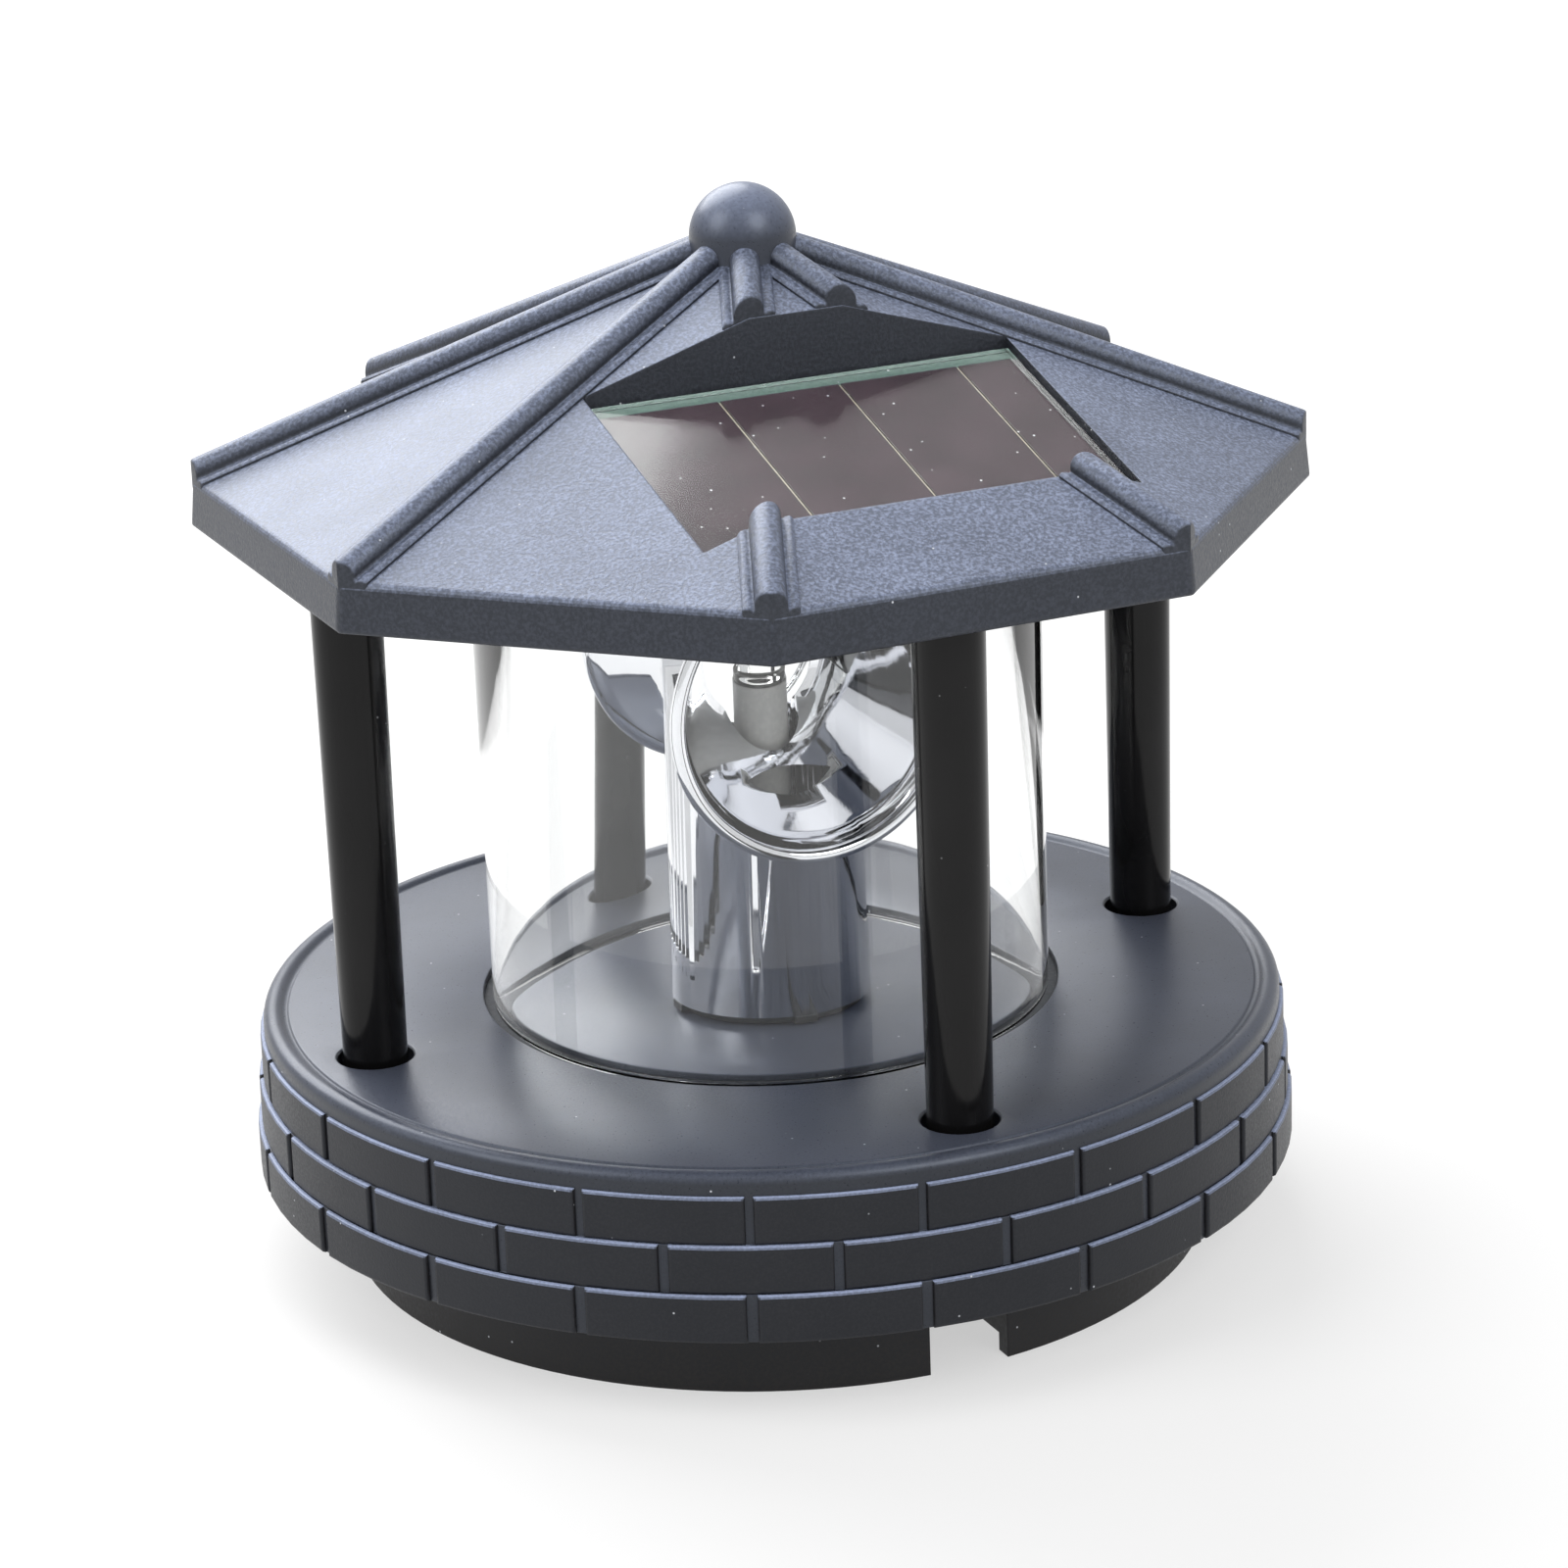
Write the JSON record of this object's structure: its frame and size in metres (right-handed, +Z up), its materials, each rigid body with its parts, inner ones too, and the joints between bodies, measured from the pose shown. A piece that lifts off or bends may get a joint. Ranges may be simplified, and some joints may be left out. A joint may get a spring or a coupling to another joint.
{
  "type": "garden lighthouse ornament",
  "caption": "Lighthouse lantern-room ornament: brick-patterned round base, clear tube round a turning horned mirror, columns, eight-sided roof with a solar panel, and a spigot below.",
  "frame": {"origin": "on the vertical axis, at the foot of the spigot", "axes": "+Z up along the mirror's axis; the solar panel and the key slot face -Y; the columns stand on the X and Y axes"},
  "size_m": [0.1146, 0.1146, 0.1167],
  "materials": {
    "deck_plastic": "satin",
    "cover_plastic": "satin",
    "column_plastic": "gloss",
    "clear_plastic": "clear",
    "seal_rubber": "matt",
    "roof_plastic": "fine spark-eroded grain",
    "finial_plastic": "satin",
    "ceiling_plastic": "satin",
    "board_green": "satin",
    "cell_brown": "gloss",
    "clear_resin": "clear",
    "mirror_chrome": "vacuum-plated plastic",
    "turntable_plastic": "satin",
    "gear_plastic": "natural acetal",
    "axle_steel": "ground",
    "brass_pinion": "machined",
    "motor_steel": "plated",
    "post_plastic": "natural",
    "lamp_resin": "clear",
    "cell_sleeve": "shrink sleeve",
    "contact_metal": "nickel plated",
    "switch_plastic": "satin",
    "slider_plastic": "satin",
    "lead_sleeve": "satin",
    "screw_steel": "zinc plated"
  },
  "bodies": {
    "base": {"base_housing": "deck_plastic", "bottom_cover": "cover_plastic", "column_front": "column_plastic", "column_right": "column_plastic", "column_back": "column_plastic", "column_left": "column_plastic", "lens_tube": "clear_plastic", "lens_gasket": "seal_rubber", "roof_shell": "roof_plastic", "finial": "finial_plastic", "ceiling_plate": "ceiling_plastic", "solar_board": "board_green", "solar_cells": "cell_brown", "solar_cover": "clear_resin", "idler_axle": "axle_steel", "motor_case": "motor_steel", "gearbox_plate": "ceiling_plastic", "lamp_post": "post_plastic", "lamp": "lamp_resin", "battery_cell": "cell_sleeve", "contact_plate": "contact_metal", "spring_plate": "contact_metal", "contact_spring": "contact_metal", "switch_body": "switch_plastic", "circuit_board": "board_green", "board_components": "switch_plastic", "panel_lead": "lead_sleeve", "lamp_lead": "lead_sleeve", "motor_lead": "lead_sleeve", "cover_screws": "screw_steel", "column_screws": "screw_steel", "roof_screws": "screw_steel", "plate_screws": "screw_steel", "motor_screws": "screw_steel"},
    "mirror_carrier": {"mirror": "mirror_chrome", "turntable": "turntable_plastic", "mirror_gear": "gear_plastic"},
    "idler": {"idler_gear": "gear_plastic"},
    "motor_rotor": {"motor_shaft": "axle_steel", "motor_pinion": "brass_pinion"},
    "door": {"battery_door": "cover_plastic"},
    "slider": {"switch_slider": "slider_plastic"}
  },
  "joints": [
    {"name": "mirror_spin", "type": "hinge", "parent": "base", "child": "mirror_carrier", "pos_m": [0, 0, 0.0287], "axis": [0, 0, 1], "continuous": true},
    {"name": "idler_spin", "type": "hinge", "parent": "base", "child": "idler", "pos_m": [-0.0155, 0, 0.0217], "axis": [0, 0, 1], "continuous": true},
    {"name": "motor_spin", "type": "hinge", "parent": "base", "child": "motor_rotor", "pos_m": [-0.02012, 0.01269, 0.0199], "axis": [0, 0, 1], "continuous": true},
    {"name": "door_hinge", "type": "hinge", "parent": "base", "child": "door", "pos_m": [0.0254, -0.0228, 0.003], "axis": [0, -1, 0], "range_deg": [0, 95]},
    {"name": "switch_slide", "type": "slide", "parent": "base", "child": "slider", "axis": [0, 1, 0], "range_m": [0, 0.002]}
  ],
  "couplings": [
    {"joint": "idler_spin", "follows": "mirror_spin", "ratio": -4.1667},
    {"joint": "motor_spin", "follows": "mirror_spin", "ratio": 14.583}
  ]
}
